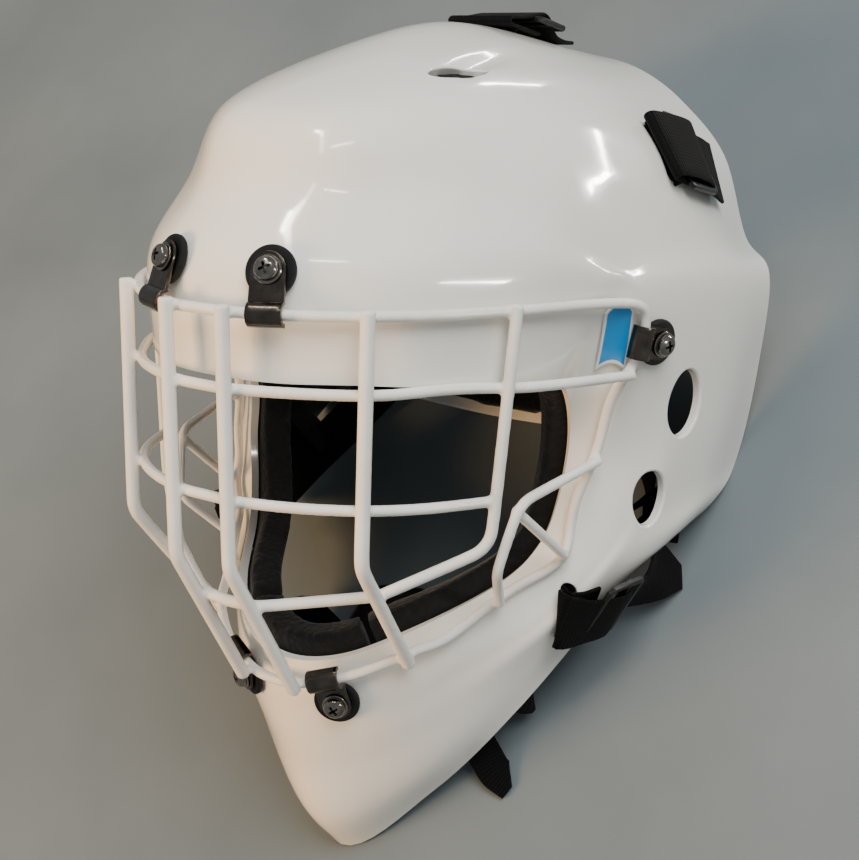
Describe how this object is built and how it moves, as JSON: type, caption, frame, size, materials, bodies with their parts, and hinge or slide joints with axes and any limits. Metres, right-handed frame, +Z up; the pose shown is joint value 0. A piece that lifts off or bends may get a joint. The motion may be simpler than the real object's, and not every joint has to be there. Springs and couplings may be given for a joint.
{
  "type": "hockey goalie mask",
  "caption": "White moulded ice hockey goalkeeper's mask with a welded wire cage, six clips, foam liner, backplate and black webbing.",
  "frame": {"origin": "centre of the bounding box in X and Y, at the floor the mask rests on", "axes": "+X to the wearer's left, +Z up from the floor, -Y the way the chin points. The mask is tilted back 50.4 degrees from how it is worn, resting on its chin tip and the two rear corners of its jaw."},
  "size_m": [0.2372, 0.3656, 0.2349],
  "materials": {
    "shell_plastic": "gloss, warm white",
    "cage_enamel": "white enamel on steel wire",
    "rubber": "matt black",
    "clip_steel": "dark nickel plate",
    "screw_steel": "bright plate",
    "label_blue": "blue printed panel with a white edge, left bare",
    "webbing": "black woven webbing",
    "buckle_plastic": "satin black",
    "foam": "black closed-cell foam with a cloth face",
    "plate_plastic": "satin white"
  },
  "bodies": {
    "root": {"shell": "shell_plastic", "cage": "cage_enamel", "label_plate": "label_blue", "clip_top_left": "clip_steel", "washer_top_left": "rubber", "screw_top_left": "screw_steel", "clip_top_right": "clip_steel", "washer_top_right": "rubber", "screw_top_right": "screw_steel", "clip_side_left": "clip_steel", "washer_side_left": "rubber", "screw_side_left": "screw_steel", "clip_side_right": "clip_steel", "washer_side_right": "rubber", "screw_side_right": "screw_steel", "clip_bottom_left": "clip_steel", "washer_bottom_left": "rubber", "screw_bottom_left": "screw_steel", "clip_bottom_right": "clip_steel", "washer_bottom_right": "rubber", "screw_bottom_right": "screw_steel", "crown_strap": "webbing", "crown_buckle": "buckle_plastic", "upper_strap_left": "webbing", "upper_buckle_left": "buckle_plastic", "lower_strap_left": "webbing", "jaw_buckle_left": "buckle_plastic", "upper_strap_right": "webbing", "upper_buckle_right": "buckle_plastic", "lower_strap_right": "webbing", "jaw_buckle_right": "buckle_plastic", "chin_strap": "webbing", "chin_cup": "foam", "forehead_pad": "foam", "crown_pad": "foam", "side_pad_left": "foam", "jaw_pad_left": "foam", "side_pad_right": "foam", "jaw_pad_right": "foam", "chin_pad": "foam", "backplate": "plate_plastic", "backplate_pad": "foam"}
  },
  "joints": []
}
